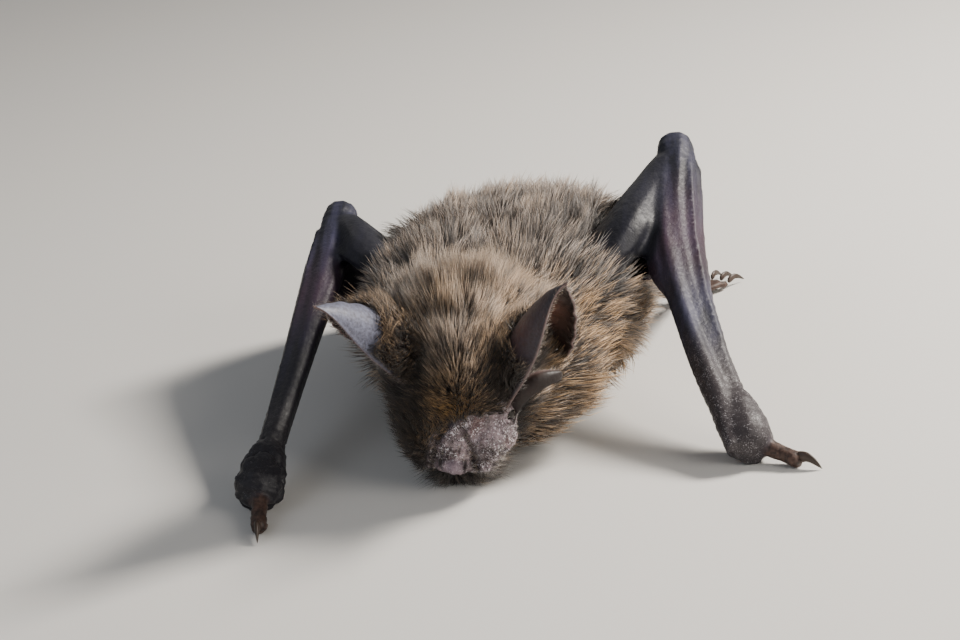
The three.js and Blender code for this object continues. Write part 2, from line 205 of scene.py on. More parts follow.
def layFloor():
    bm = bmesh.new()
    bmesh.ops.create_grid(bm, x_segments=1, y_segments=1, size=studio["floorSize"])
    mesh = bpy.data.meshes.new("floor")
    bm.to_mesh(mesh)
    bm.free()
    material = bpy.data.materials.new("paleFloor")
    material.use_nodes = True
    shader = material.node_tree.nodes["Principled BSDF"]
    shader.inputs["Base Color"].default_value = studio["floorColour"]
    shader.inputs["Roughness"].default_value = studio["floorRoughness"]
    mesh.materials.append(material)
    floor = put("floor", mesh)


placeCamera()
lightStudio()
layFloor()
print("camera, light and floor are set")


# flesh: one skin over every flesh node

flesh = [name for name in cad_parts
         if not ("eye" in name or "claw" in name or name.endswith("_ear") or name.endswith("tragus"))]
skinShape = dict(grain=0.2, swell=0.16, rounds=26, triangles=176000)
sleeve = dict(sides=16, rings=30, start=0.12, end=1.12, out=0.3,
              shares=(0.1, 0.4, 0.72, 0.85, 0.95, 1.04, 1.12),
              radius=(1.2, 1.15, 1.0, 1.15, 1.25, 1.1, 0.6))
armBow = dict(left=2.2, right=0.3)
floorGap = 0.01


def settled(thing):
    # the object's mesh with its modifiers worked in
    return bpy.data.meshes.new_from_object(thing.evaluated_get(bpy.context.evaluated_depsgraph_get()))


# arms: each has its own axes, from the elbow toward the wrist

def armAxes(side):
    elbow, wrist = endsOf(side + "_forearm")
    along = unit(wrist - elbow)
    out = np.array([sides[side], 0.25, -0.55])
    out = unit(out - along * dot(out, along))
    return dict(elbow=elbow, along=along, out=out, flank=np.cross(along, out) * sides[side],
                length=np.linalg.norm(wrist - elbow), bow=armBow[side])


arms = {side: armAxes(side) for side in sides}


def alongArm(points, arm):
    return dot(points - arm["elbow"], arm["along"]) / arm["length"]


def armLine(arm, t, out):
    # the middle of the arm's bundle at each share t of the way from elbow to wrist
    offset = out - arm["bow"] * np.sin(math.pi * np.clip(t, 0, 1))
    return arm["elbow"] + arm["along"] * (t * arm["length"])[:, None] + arm["out"] * offset[:, None]


def sleeveOf(side):
    # fills the furrow between forearm and folded fingers, so that they lie in one skin down to the wrist
    arm = arms[side]
    t = np.linspace(sleeve["start"], sleeve["end"], sleeve["rings"])
    radius = np.interp(t, sleeve["shares"], sleeve["radius"])
    turnBy = np.linspace(0, 2 * math.pi, sleeve["sides"], endpoint=False)
    ring = np.cos(turnBy)[:, None] * arm["out"] + np.sin(turnBy)[:, None] * arm["flank"]
    points = armLine(arm, t, sleeve["out"])[:, None] + ring * radius[:, None, None]
    index = np.arange(points.shape[0] * points.shape[1]).reshape(points.shape[:2])
    beside = np.roll(index, -1, axis=1)
    walls = np.stack([index[:-1], index[1:], beside[1:], beside[:-1]], 2).reshape(-1, 4).tolist()
    return points.reshape(-1, 3), walls + [index[0].tolist(), index[-1, ::-1].tolist()]


nosePad = dict(at=(0.1, -8.95, -1.65), size=(1.0, 0.95, 0.8))


def nosePadBall():
    # rounds the two nostrils into one nose
    bm = bmesh.new()
    bmesh.ops.create_icosphere(bm, subdivisions=3, radius=1)
    points = np.array([v.co * Vector(nosePad["size"]) for v in bm.verts])
    faces = [[v.index for v in f.verts] for f in bm.faces]
    bm.free()
    return fromHead(*nosePad["at"]) + points @ headTurn.T, faces


def meshedFlesh():
    points, faces, _ = gathered(flesh, skinShape["swell"])
    for more, walls in [sleeveOf(side) for side in sides] + [nosePadBall()]:
        faces += [[corner + len(points) for corner in wall] for wall in walls]
        points = np.concatenate([points, more])
    mesh = bpy.data.meshes.new("fleshBlock")
    mesh.from_pydata(points.tolist(), [], faces)
    thing = put("fleshBlock", mesh)
    remesh = thing.modifiers.new("remesh", "REMESH")
    remesh.mode = "VOXEL"
    remesh.voxel_size = skinShape["grain"]
    whole = settled(thing)
    bpy.data.objects.remove(thing)
    return whole


def trianglesOf(mesh, finer):
    # the mesh's points and triangles, with smaller faces where finer(points) is true
    bm = bmesh.new()
    bm.from_mesh(mesh)
    bm.verts.ensure_lookup_table()
    marked = finer(np.array([v.co for v in bm.verts]))
    edges = [e for e in bm.edges if marked[e.verts[0].index] and marked[e.verts[1].index]]
    bmesh.ops.subdivide_edges(bm, edges=edges, cuts=1, use_grid_fill=True)
    bmesh.ops.triangulate(bm, faces=bm.faces)
    points = np.array([v.co for v in bm.verts])
    faces = np.array([[v.index for v in f.verts] for f in bm.faces])
    bm.free()
    return points, faces


def edgesOf(faces):
    ends = np.concatenate([faces[:, [0, 1]], faces[:, [1, 2]], faces[:, [2, 0]]])
    return np.unique(np.sort(ends, axis=1), axis=0)


def spread(values, edges):
    # each point's value becomes the mean of its neighbours
    count = len(values)
    a, b = edges[:, 0], edges[:, 1]
    near = np.bincount(a, minlength=count) + np.bincount(b, minlength=count)
    flat = values.reshape(count, -1)
    total = np.stack([
        np.bincount(a, flat[b, k], count) + np.bincount(b, flat[a, k], count)
        for k in range(flat.shape[1])], axis=1)
    return (total / np.maximum(near, 1)[:, None]).reshape(values.shape)


def softened(values, edges, rounds, share=0.6):
    for _ in range(rounds):
        values = values + share * (spread(values, edges) - values)
    return values


def shareOf(names, wanted, edges, rounds):
    # 1 where a point's node is wanted, fading to 0 at the border
    return softened(np.isin(names, wanted).astype(float), edges, rounds)


def relaxed(points, edges, rounds, shrink=0.6, regrow=0.62):
    # smooths facets away and keeps the volume
    for _ in range(rounds):
        points = points + shrink * (spread(points, edges) - points)
        points = points - regrow * (spread(points, edges) - points)
    return points


def normalsOf(points, faces):
    corners = points[faces]
    across = np.cross(corners[:, 1] - corners[:, 0], corners[:, 2] - corners[:, 0])
    total = np.stack([
        sum(np.bincount(faces[:, k], across[:, axis], len(points)) for k in range(3))
        for axis in range(3)], axis=1)
    return unit(total)


def nearestOn(names, points):
    # for each point: distance to those nodes, the direction out of them there, and which node it is
    nodePoints, nodeFaces, owner = gathered(names)
    tree = BVHTree.FromPolygons([Vector(p) for p in nodePoints], nodeFaces)
    gap, out, which = np.zeros(len(points)), np.zeros((len(points), 3)), np.zeros(len(points), int)
    for i, p in enumerate(points):
        _, normal, face, distance = tree.find_nearest(p)
        gap[i], out[i], which[i] = distance, normal, owner[face]
    return gap, out, which


coatBed = dict(face=0.1, crown=1.55, chin=0.15, jaw=0.75, trunk=2.2, neck=2.1, thigh=0.9)


def coatDepth(points, which):
    # how far the skin lies under the tips of the coat, by region
    y, height = toHead(points)[:, 1], points[:, 2]
    names = np.array(coatNodes)[which]
    depths = {
        "head": coatBed["face"] + coatBed["crown"] * smooth(-5.6, -0.6, y),
        "lower_jaw": coatBed["chin"] + coatBed["jaw"] * smooth(-6.5, -2.5, y),
        "trunk": coatBed["trunk"] - 1.0 * smooth(3.0, 0.5, height),
        "neck": coatBed["neck"] - 0.9 * smooth(2.5, 0.5, height),
    }
    return np.select([names == name for name in depths], list(depths.values()), coatBed["thigh"])


# bones and folds on the arms

boneRidges = dict(count=7, height=0.15, width=0.4, wander=0.5, wrinkle=0.022, out=0.35,
                  seeds=dict(left=21, right=34))


def ridgedArm(points, normals, side, share):
    # finger bones and gathered folds that run down the folded hand and forearm
    arm = arms[side]
    t = alongArm(points, arm)
    radial = points - armLine(arm, t, boneRidges["out"])
    angle = np.arctan2(dot(radial, arm["flank"]), dot(radial, arm["out"]))
    radius = lengthOf(radial)
    dice = np.random.default_rng(boneRidges["seeds"][side])
    lift = np.zeros(len(points))
    for number in range(boneRidges["count"]):
        place = -math.pi + 2 * math.pi * (number + dice.uniform(-0.25, 0.25)) / boneRidges["count"]
        bend = dice.uniform(-1, 1) * t + 0.25 * np.sin(5 * t + dice.uniform(0, 6))
        sway = place + boneRidges["wander"] * bend
        away = (angle - sway + math.pi) % (2 * math.pi) - math.pi
        width = boneRidges["width"] * dice.uniform(0.7, 1.5)
        lift += boneRidges["height"] * dice.uniform(0.5, 1.2) * bell(away * radius, 0, width)
    lift -= boneRidges["height"] * 0.45
    lift *= smooth(0.0, 0.12, t) * (1 - smooth(0.86, 0.99, t))
    creases = np.sin(t * arm["length"] * 7 + 1.5 * ripple(points, 2.5, 3)) * (
        1 - smooth(0.05, 0.22, t) + smooth(0.8, 0.95, t))
    lift += boneRidges["wrinkle"] * creases
    return points + normals * (lift * share)[:, None]


# face: glands, nostrils, mouth and lids, in the head's own millimetres
face = dict(
    eyeAt=(3.9, -4.9, -0.1), gaze=(0.78, -0.6, 0.14),
    lidReach=0.73, lidHollow=0.42, openWide=0.62, openHigh=0.46,
    glandAt=(2.7, -7.0, 0.0), glandSize=1.25, glandLift=0.36,
    cheekAt=(4.4, -6.0, -1.2), cheekSize=1.2, cheekLift=0.5,
    bridgeLift=0.3, grooveDepth=0.42, creaseDepth=0.22,
    tipAt=(0.1, -9.6, -1.6), tipSize=0.55, tipLift=0.32,
    nostrilAt=(1.02, -9.4, -1.5), nostrilSize=0.16, nostrilDepth=0.45,
    mouthDepth=0.42, upperLip=0.13, lowerLip=0.1, pitDepth=0.09, lumps=0.09,
)


def nostrils(q):
    # 1 inside the two crescents that open sideways at the front of the nose
    x, y, z = q.T
    atX, atY, atZ = face["nostrilAt"]
    crescent = bell(np.abs(x) - atX + 0.5 * (z - atZ) ** 2, 0, face["nostrilSize"])
    return crescent * bell(z, atZ, 0.4) * smooth(atY + 1.1, atY + 0.6, y)


def fromMouth(q):
    # height over the mouth's line, which rises toward the nose
    _, y, z = q.T
    return z + 3.75 - 0.1 * (y + 6) + 0.012 * (y + 6) ** 2


def noseTip(q):
    return smooth(1.0, 0.5, lengthOf((q - np.array(face["tipAt"])) * [0.9, 1, 1.1]))


def grooves(q):
    # the two furrows that part the bridge of the nose from the glands beside it
    x, y, z = q.T
    line = np.interp(y, (-9.2, -8.0, -7.3), (1.75, 1.4, 0.6))
    return bell(np.abs(x) - line, 0, 0.3) * smooth(-6.8, -7.6, y) * smooth(-2.9, -2.2, z)


def folded(q):
    # both halves of the head laid on the left one
    return np.stack([np.abs(q[:, 0]), q[:, 1], q[:, 2]], 1)


def lidOpening(q):
    # 1 inside the almond between the lids, falling to 0 at their margin; also the way from the eye's middle
    way = folded(q) - face["eyeAt"]
    ahead = unit(np.array(face["gaze"]))
    level = unit(np.cross(ahead, [0, 0, 1.0]))
    heading = unit(way)
    wide = dot(heading, level) / face["openWide"]
    high = dot(heading, np.cross(level, ahead)) / face["openHigh"]
    return smooth(1.05, 0.75, np.hypot(wide, high)) * (dot(heading, ahead) > 0), way


def lidded(q):
    # lids wrap the eyeball closely and leave an almond open
    opening, way = lidOpening(q)
    reach = lengthOf(way)
    inside = np.minimum(reach, face["lidHollow"])
    wrapped = np.maximum(reach, face["lidReach"]) * (1 - opening) + inside * opening
    reach = reach + (wrapped - reach) * smooth(1.3, 0.95, reach)
    near = unit(way) * reach[:, None] + face["eyeAt"]
    near[:, 0] *= np.where(q[:, 0] < 0, -1, 1)
    return near


def sculptedFace(points, normals):
    q = toHead(points)
    x, y, z = q.T
    half = folded(q)
    side = half[:, 0]
    lift = face["glandLift"] * blob(half, face["glandAt"], face["glandSize"])
    lift += face["cheekLift"] * blob(half, face["cheekAt"], face["cheekSize"])
    lift += face["bridgeLift"] * bell(x, 0, 1.1) * bell(y, -8.3, 0.9) * smooth(-2.4, -1.4, z)
    lift += face["tipLift"] * blob(q, face["tipAt"], face["tipSize"])
    crease = bell(y + 0.5 * z, -9.6, 0.3) * smooth(1.6, 0.9, side) * smooth(-2.0, -1.4, z)
    lift -= face["creaseDepth"] * crease
    lift -= face["grooveDepth"] * grooves(q)
    lift -= face["nostrilDepth"] * nostrils(q)
    inFront = smooth(-1.5, -4.0, y)
    line = fromMouth(q)
    lift += inFront * (face["upperLip"] * bell(line, 0.75, 0.5) + face["lowerLip"] * bell(line, -0.6, 0.4))
    lift -= inFront * face["mouthDepth"] * bell(line, 0, 0.16)
    fromEye = lengthOf(half - face["eyeAt"])
    lift += 0.08 * bell(fromEye, 1.35, 0.18) - 0.06 * bell(fromEye, 1.05, 0.12)
    bare = smooth(-4.6, -6.2, y) * smooth(3.5, 1.5, np.abs(line) - 1.5)
    bare *= 1 - 0.8 * noseTip(q)
    pits = ripple(points, 0.42, 12)
    lift += bare * (face["lumps"] * ripple(points, 0.9, 11) - face["pitDepth"] * smooth(0.1, 0.9, pits))
    shaped = points + normals * lift[:, None]
    near = (y < -2.5) & (z > -2.5) & (side < 6)
    shaped[near] = headAt + lidded(toHead(shaped[near])) @ headTurn.T
    return shaped


def buildSkin():
    points, faces = trianglesOf(
        meshedFlesh(), lambda p: (toHead(p)[:, 1] < -2.8) & (toHead(p)[:, 2] > -7) & (p[:, 1] < -20))
    edges = edgesOf(faces)
    gap, out, which = nearestOn(coatNodes, points)
    _, _, owner = nearestOn(flesh, points)
    names = np.array(flesh)[owner]
    cover = shareOf(names, coatNodes, edges, 4)
    for side in sides:
        onArm = shareOf(names, [side + "_upper_arm"], edges, 4)
        shoulder, elbow = sorted(endsOf(side + "_upper_arm"), key=lambda end: end[2])
        reach = dot(points - shoulder, elbow - shoulder) / dot(elbow - shoulder, elbow - shoulder)
        cover = np.maximum(cover, onArm * smooth(0.2, 0.05, reach))
    points = relaxed(points, edges, skinShape["rounds"])
    normals = normalsOf(points, faces)
    points = points - normals * (skinShape["swell"] * 0.8)
    sink = coatDepth(points, which) * (1 - smooth(0.35, 2.4, gap - skinShape["swell"]))
    points = points - softened(out * sink[:, None], edges, 20)
    points = relaxed(points, edges, 6)
    normals = normalsOf(points, faces)
    for side in sides:
        share = shareOf(names, [side + "_forearm", side + "_folded_hand"], edges, 5)
        points = ridgedArm(points, normals, side, share)
    points = sculptedFace(points, normals)
    points[:, 2] = np.maximum(points[:, 2], floorGap)
    return points, faces, edges, names, cover


skinPoints, skinFaces, skinEdges, skinNames, skinCover = buildSkin()
print("skin sculpted:", len(skinPoints), "points,", len(skinFaces), "triangles")


# regions of the skin, each from 0 to 1 at every point

def regionOf(names):
    return shareOf(skinNames, names, skinEdges, 6)


def bareFace(points):
    # the swollen bare muzzle, which reaches up round the left eye; on the right the fur comes further down
    x, y, z = toHead(points).T
    edge = -7.05 + 0.45 * x - 1.6 * smooth(-1.6, -2.5, x) + 0.2 * ripple(points, 0.9, 15)
    cheek = smooth(2.9, 3.4, x) * smooth(2.2, 1.7, z + 0.6 * (x - 3.4)) * smooth(-3.7, -4.1, y)
    chin = smooth(-4.0, -4.5, z)
    return np.maximum(smooth(edge + 0.25, edge - 0.25, y), cheek) * (1 - chin)


onHead = regionOf(["head", "lower_jaw"])
inHead = toHead(skinPoints)
bare = bareFace(skinPoints) * onHead
onArm = {side: regionOf([side + "_forearm", side + "_folded_hand"]) for side in sides}
reach = {side: alongArm(skinPoints, arms[side]) for side in sides}
regions = {
    "muzzle": bare,
    "cover": skinCover * (1 - bare),
    "foot": regionOf(bothSides("_foot", "_thumb")),
    "web": 0.55 * regionOf(bothSides("_wing_membrane")) + sum(
        0.6 * onArm[side] * bell(reach[side], 0.42, 0.16) for side in sides),
    "wrist": sum(onArm[side] * smooth(0.7, 0.92, reach[side]) for side in sides),
    "head": onHead,
    "nose": noseTip(inHead) * onHead,
    # painted shade in the nostrils, the grooves beside the nose, the opening between the lids and along the
    # mouth
    "cleft": onHead * np.maximum.reduce([
        nostrils(inHead), 0.75 * grooves(inHead),
        0.9 * lidOpening(inHead)[0] * (np.abs(inHead[:, 0]) < 5.2),
        0.9 * bell(fromMouth(inHead), 0, 0.25) * smooth(-3, -5, inHead[:, 1])]),
    # painted shade on the right forearm, growing toward the wrist
    "dusk": onArm["right"] * smooth(0.2, 0.75, reach["right"]),
    # painted highlight on the tops of the glands
    "gland": onHead * blob(np.abs(inHead), (2.7, 7.2, 0.2), 1.5),
    "arm": regionOf(bothSides("_upper_arm")),
    **{name: np.zeros(len(skinPoints)) for name in ("ear", "rim", "hollow", "glow", "furred")},
}


# ears: leaves rolled round their long axis, open at the side, with thin margins

earShape = dict(length=12.2, width=11.2, curl=1.9, rows=90, columns=70,
                thickness=0.3, margin=0.12, ribs=0.06, crinkle=0.05, hem=1.5,
                root=(5.4, -1.05, 0.45), opens=(0.66, -0.34, -0.67),
                # the last entry: how much of the dark, glowing hollow paint each ear's back takes, as painted
                # shade and glow
                furTo=dict(left=0.38, right=0.56), tan=dict(left=0.8, right=0.1))


def earFrame(side):
    x, y, z = earShape["root"]
    root = fromHead(sides[side] * x, y, z)
    points, _ = nodeMesh(side + "_ear")
    reach = lengthOf(points - root)
    along = unit(points[reach > reach.max() - 0.9].mean(0) - root)
    opens = np.array(earShape["opens"]) * [sides[side], 1, 1]
    front = unit(opens - along * dot(opens, along))
    return root, along, front, np.cross(along, front) * sides[side]


def sheetGrid(middle, rows, columns, thickness):
    # a closed sheet: middle(u, v) is its mid surface and thickness(u, v) how thick it is there
    v, u = np.meshgrid(np.linspace(0, 1, rows), np.linspace(0, 1, columns), indexing="ij")
    u, v = u.ravel(), v.ravel()
    step = 1e-3
    centre = middle(u, v)
    across = middle(np.minimum(u + step, 1), v) - middle(np.maximum(u - step, 0), v)
    along = middle(u, np.minimum(v + step, 1)) - middle(u, np.maximum(v - step, 0))
    out = unit(np.cross(across, along)) * (thickness(u, v) / 2)[:, None]
    points = np.concatenate([centre + out, centre - out])
    index = np.arange(rows * columns).reshape(rows, columns)
    a, b, c, d = (part.ravel() for part in (index[:-1, :-1], index[:-1, 1:], index[1:, 1:], index[1:, :-1]))
    top = np.concatenate([np.stack([a, b, c], 1), np.stack([a, c, d], 1)])
    ring = np.concatenate([index[0, :], index[1:, -1], index[-1, -2::-1], index[-2:0:-1, 0]])
    after, low = np.roll(ring, -1), rows * columns
    wall = np.concatenate([np.stack([ring, ring + low, after + low], 1),
                           np.stack([ring, after + low, after], 1)])
    return points, np.concatenate([top, top[:, ::-1] + low, wall]), np.tile(u, 2), np.tile(v, 2)


def earLeaf(side):
    # u runs from the front margin to the rear one, v from root to tip
    root, along, front, across = earFrame(side)

    def middle(u, v):
        lean = 2 * u - 1
        width = earShape["width"] * np.maximum(1 - v ** 2, 0.04)
        curl = earShape["curl"] - 1.1 * v ** 4
        turn = lean * curl
        ribs = earShape["ribs"] * np.sin(v * 34 + 3 * lean)
        radius = width / 2 / curl + ribs * smooth(-0.3, 0.2, lean) * smooth(1, 0.8, v)
        waves = np.sin(v * 50) + 0.7 * np.sin(v * 81 + 1)
        crinkle = smooth(0.75, 1, lean) * earShape["crinkle"] * waves
        point = root + along * (earShape["length"] * v * (1 - 0.05 * lean))[:, None]
        hem = earShape["hem"] * np.maximum(-lean, 0) ** 2 * np.maximum(1 - 2.2 * v, 0) ** 1.5
        point = point + across * (radius * np.sin(turn) - hem)[:, None]
        return point + front * (radius * (0.1 - np.cos(turn)) + crinkle)[:, None]

    def thickness(u, v):
        edge = np.minimum(np.minimum(u, 1 - u) * 2, (1 - v) * 1.2)
        swell = (earShape["thickness"] - earShape["margin"]) * smooth(0, 0.5, edge)
        return earShape["margin"] + swell + 0.1 * bell(edge, 0.04, 0.03)

    points, faces, u, v = sheetGrid(middle, earShape["rows"], earShape["columns"], thickness)
    edge = np.minimum(np.minimum(u, 1 - u) * 2, (1 - v) * 1.6)
    firstFace = np.arange(len(points)) < len(points) // 2
    hollow = (firstFace == (side == "left")).astype(float)
    # the left ear's back takes most of the hollow paint as painted shade and glow; the right ear's back keeps
    # its pale blue-grey
    brown = np.maximum(hollow, earShape["tan"][side])
    # painted glow of light shining through the middle of the leaf
    glow = bell(v, 0.45, 0.22) * bell(np.abs(2 * u - 1), 0.45, 0.3)
    reach = earShape["furTo"][side]
    furred = (1 - hollow) * smooth(reach, reach - 0.18, v) * smooth(0.02, 0.1, edge)
    whole = np.ones(len(points))
    return points, faces, dict(ear=whole, head=whole, hollow=brown, furred=furred, glow=0.8 * glow * brown,
                               rim=1 - smooth(0.01, 0.035, edge))


tragusShape = dict(rise=7.7, width=1.6, rows=50, columns=16, thickness=0.2,
                   start=-3.7, sweep=3.8, out=0.55, left=1.6, right=0.2)


def tragusBlade(side):
    # starts at the corner of the eye and arches outward across the ear's opening
    root, along, front, across = earFrame(side)

    def middle(u, v):
        width = tragusShape["width"] * np.sqrt(np.maximum(1 - 0.9 * v ** 3, 0.05))
        sweep = tragusShape["start"] + tragusShape["sweep"] * np.maximum(v, 0) ** 1.5
        point = root + across * sweep[:, None]
        outward = tragusShape["out"] + tragusShape[side] * v * v + (u - 0.1) * width
        point = point + front * outward[:, None]
        rise = tragusShape["rise"] * (v - 0.71 * v * v) - 0.5 * u + 0.3 * np.sin(math.pi * u)
        return point + along * rise[:, None]

    def thickness(u, v):
        return tragusShape["thickness"] * (0.55 + 0.9 * np.sin(math.pi * u)) * (1 - 0.5 * v)

    points, faces, u, v = sheetGrid(middle, tragusShape["rows"], tragusShape["columns"], thickness)
    rim = smooth(0.28, 0.08, u) * smooth(0.05, 0.3, v)
    whole = np.ones(len(points))
    # painted shade on the face of the tragus away from its rim
    return points, faces, dict(ear=whole, rim=rim, hollow=whole, cleft=0.6 * smooth(0.2, 0.45, u))


def finishedMesh(name, points, faces, values, material):
    # points in millimetres become a smooth mesh in metres that carries its regions
    mesh = bpy.data.meshes.new(name)
    mesh.from_pydata((points * mm).tolist(), [], faces.tolist(), False)
    for key, value in values.items():
        mesh.attributes.new(key, "FLOAT", "POINT").data.foreach_set("value", value.astype(np.float32))
    mesh.materials.append(material)
    return put(name, mesh)


# node helpers for the materials

class Recipe:
    def __init__(self, name):
        self.material = bpy.data.materials.new(name)
        self.material.use_nodes = True
        self.nodes = self.material.node_tree.nodes
        self.links = self.material.node_tree.links
        self.shader = self.nodes["Principled BSDF"]

    def add(self, kind, inputs=(), **settings):
        node = self.nodes.new(kind)
        for key, value in settings.items():
            setattr(node, key, value)
        for key, value in dict(inputs).items():
            self.give(node.inputs[key], value)
        return node

    def give(self, socket, value):
        if isinstance(value, bpy.types.NodeSocket):
            self.links.new(value, socket)
        else:
            socket.default_value = value

    def region(self, name):
        return self.add("ShaderNodeAttribute", attribute_name=name).outputs["Fac"]

    def place(self):
        return self.add("ShaderNodeTexCoord").outputs["Object"]

    def noise(self, scale, detail=3.0, roughness=0.55, vector=None):
        inputs = {"Vector": vector or self.place(), "Scale": scale, "Detail": detail, "Roughness": roughness}
        return self.add("ShaderNodeTexNoise", inputs).outputs["Fac"]

    def stretched(self, scale):
        return self.add("ShaderNodeMapping", {"Vector": self.place(), "Scale": scale}).outputs["Vector"]

    def mix(self, share, a, b, blend="MIX"):
        node = self.add("ShaderNodeMix", data_type="RGBA", blend_type=blend)
        for socket, value in ((node.inputs[0], share), (node.inputs[6], a), (node.inputs[7], b)):
            self.give(socket, value)
        return node.outputs[2]

    def times(self, a, b):
        return self.mix(1.0, a, (b, b, b, 1) if isinstance(b, float) else b, "MULTIPLY")

    def ramp(self, value, stops):
        node = self.add("ShaderNodeValToRGB", {"Fac": value})
        marks = node.color_ramp.elements
        while len(marks) < len(stops):
            marks.new(0.5)
        for mark, (place, colour) in zip(marks, stops):
            mark.position = place
            mark.color = colour if len(colour) == 4 else (*colour, 1)
        return node.outputs["Color"]

    def fade(self, value, *levels):
        # a ramp through greys, from (place, grey) to (place, grey)
        return self.ramp(value, [(place, (grey, grey, grey)) for place, grey in levels])

    def bump(self, height, distance, strength=0.5, below=None):
        inputs = {"Height": height, "Distance": distance * mm, "Strength": strength}
        if below:
            inputs["Normal"] = below
        return self.add("ShaderNodeBump", inputs).outputs["Normal"]

    def set(self, **inputs):
        for key, value in inputs.items():
            self.give(self.shader.inputs[key.replace("_", " ")], value)


def opaque(paint):
    return {key: (*value, 1) for key, value in paint.items()}


skinPaint = dict(
    # next line: the blue-violet cast and lighter tone of the wing colours stand partly for painted sheen
    wingDark=(0.004, 0.005, 0.012), wingLight=(0.036, 0.036, 0.070), wingRed=(0.050, 0.020, 0.036),
    # next line: the first colour, near black, is painted shade for the right forearm and the upper arms
    dusk=(0.004, 0.004, 0.008), wrist=(0.030, 0.024, 0.027), flake=(0.82, 0.78, 0.82),
    # next line: the first colour is the skin under the coat, near black, partly its own colour and partly
    # painted shade between the hairs
    under=(0.010, 0.006, 0.005), muzzleDark=(0.022, 0.013, 0.015), muzzleLight=(0.34, 0.255, 0.28),
    # next line: the last colour, near black, is painted shade in creases, nostrils, lids, the mouth line and
    # on the tragus face
    muzzleRed=(0.11, 0.050, 0.050), nose=(0.22, 0.165, 0.20), cleft=(0.006, 0.003, 0.003),
    # next line: the ear's red is painted glow of light shining through, and the pale blue-grey of the ear's
    # back stands partly for painted sky sheen
    earDark=(0.017, 0.008, 0.006), earRed=(0.13, 0.045, 0.026), earBack=(0.15, 0.16, 0.225),
    earRim=(0.13, 0.085, 0.08), foot=(0.085, 0.048, 0.036),
)
skinLayers = dict(  # each noise's scale, detail and roughness, and the two levels that it fades between
    streaks=(900, 5, 0.6, (0.4, 0), (0.7, 1)), blotches=(900, 6, 0.75, (0.42, 0), (0.58, 0.8)),
    gloom=(480, 4, 0.7, (0.4, 0.85), (0.56, 0)), ruddy=(1100, 2, 0.5, (0.55, 0), (0.7, 0.7)),
    flakes=(6800, 3, 0.7, (0.53, 0), (0.63, 1)), patches=(1500, 3, 0.6, (0.4, 0.1), (0.6, 1)),
    pores=(4300, 3, 0.65, (0.3, 0.9), (0.44, 0)), earBack=(3800, 5, 0.7, (0.3, 0.3), (0.6, 1)),
    wristFlakes=(9500, 2, 0.7, (0.55, 0), (0.68, 0.4)),
)


def batSkin():
    r = Recipe("batSkin")
    tint = opaque(skinPaint)

    def layer(name, vector=None):
        scale, detail, roughness, *levels = skinLayers[name]
        return r.fade(r.noise(scale, detail, roughness, vector), *levels)

    cloud = r.noise(420, 5, 0.6)
    fine = r.noise(2600, 4, 0.6)
    # wing skin: near black to dark blue-grey in streaks along the arm; the blue cast and lighter streaks
    # stand partly for painted sheen
    streaks = layer("streaks", r.stretched((1.0, 0.16, 0.3)))
    colour = r.mix(streaks, tint["wingDark"], tint["wingLight"])
    ruddyWeb = r.times(r.region("web"), r.fade(cloud, (0.3, 0.7), (0.55, 1)))
    colour = r.mix(ruddyWeb, colour, tint["wingRed"])
    muzzle = r.mix(layer("blotches"), tint["muzzleDark"], tint["muzzleLight"])
    # painted highlight: the tops of the glands are lightened
    muzzle = r.mix(r.times(r.region("gland"), 0.5), muzzle, tint["muzzleLight"])
    muzzle = r.mix(layer("gloom"), muzzle, tint["muzzleDark"])
    muzzle = r.mix(layer("ruddy", r.stretched((1.0, 0.5, 0.4))), muzzle, tint["muzzleRed"])
    patches = layer("patches")
    muzzle = r.mix(r.times(layer("flakes"), patches), muzzle, tint["flake"])
    muzzle = r.mix(layer("pores"), muzzle, tint["muzzleDark"])
    muzzle = r.mix(r.times(r.region("nose"), 0.65), muzzle, tint["nose"])
    # inside of the ear: dark brown, deepened as painted shade, with red patches and a red glow painted where
    # light shines through
    hollow = r.mix(r.fade(cloud, (0.5, 0), (0.85, 0.4)), tint["earDark"], tint["earRed"])
    hollow = r.mix(r.region("glow"), hollow, tint["earRed"])
    hollow = r.mix(r.fade(fine, (0.35, 0.6), (0.6, 0)), hollow, tint["earDark"])
    # back of the ear: dark brown to a pale blue-grey that stands partly for painted sky sheen
    back = r.mix(layer("earBack"), tint["earDark"], tint["earBack"])
    ear = r.mix(r.region("hollow"), back, hollow)
    ear = r.mix(r.region("rim"), ear, tint["earRim"])
    wrist = r.mix(r.times(layer("wristFlakes"), patches), tint["wrist"], tint["flake"])
    foot = r.mix(r.fade(fine, (0.35, 0), (0.65, 1)), tint["earDark"], tint["foot"])
    colour = r.mix(r.region("wrist"), colour, wrist)
    # painted shade: the right forearm and both upper arms are darkened toward near black
    for region in ("dusk", "arm"):
        colour = r.mix(r.times(r.region(region), 0.8), colour, tint["dusk"])
    # painted over the rest: the skin under the coat is near black, partly its own colour and partly painted
    # shade between the hairs, and the crease colour is painted shade
    over = {"foot": foot, "ear": ear, "muzzle": muzzle, "cover": tint["under"], "furred": tint["under"],
            "cleft": tint["cleft"]}
    for region, paint in over.items():
        colour = r.mix(r.region(region), colour, paint)
    r.set(Base_Color=colour, Specular_IOR_Level=0.36, Sheen_Weight=0.04, Sheen_Roughness=0.5)
    r.set(Roughness=r.fade(fine, (0.3, 0.42), (0.7, 0.62)))
    creases = r.add("ShaderNodeTexVoronoi", {"Scale": 1900.0, "Vector": r.place()},
                    feature="DISTANCE_TO_EDGE").outputs["Distance"]
    r.set(Normal=r.bump(fine, 0.09, 0.55, r.bump(creases, 0.05, 0.35)))
    return r.material


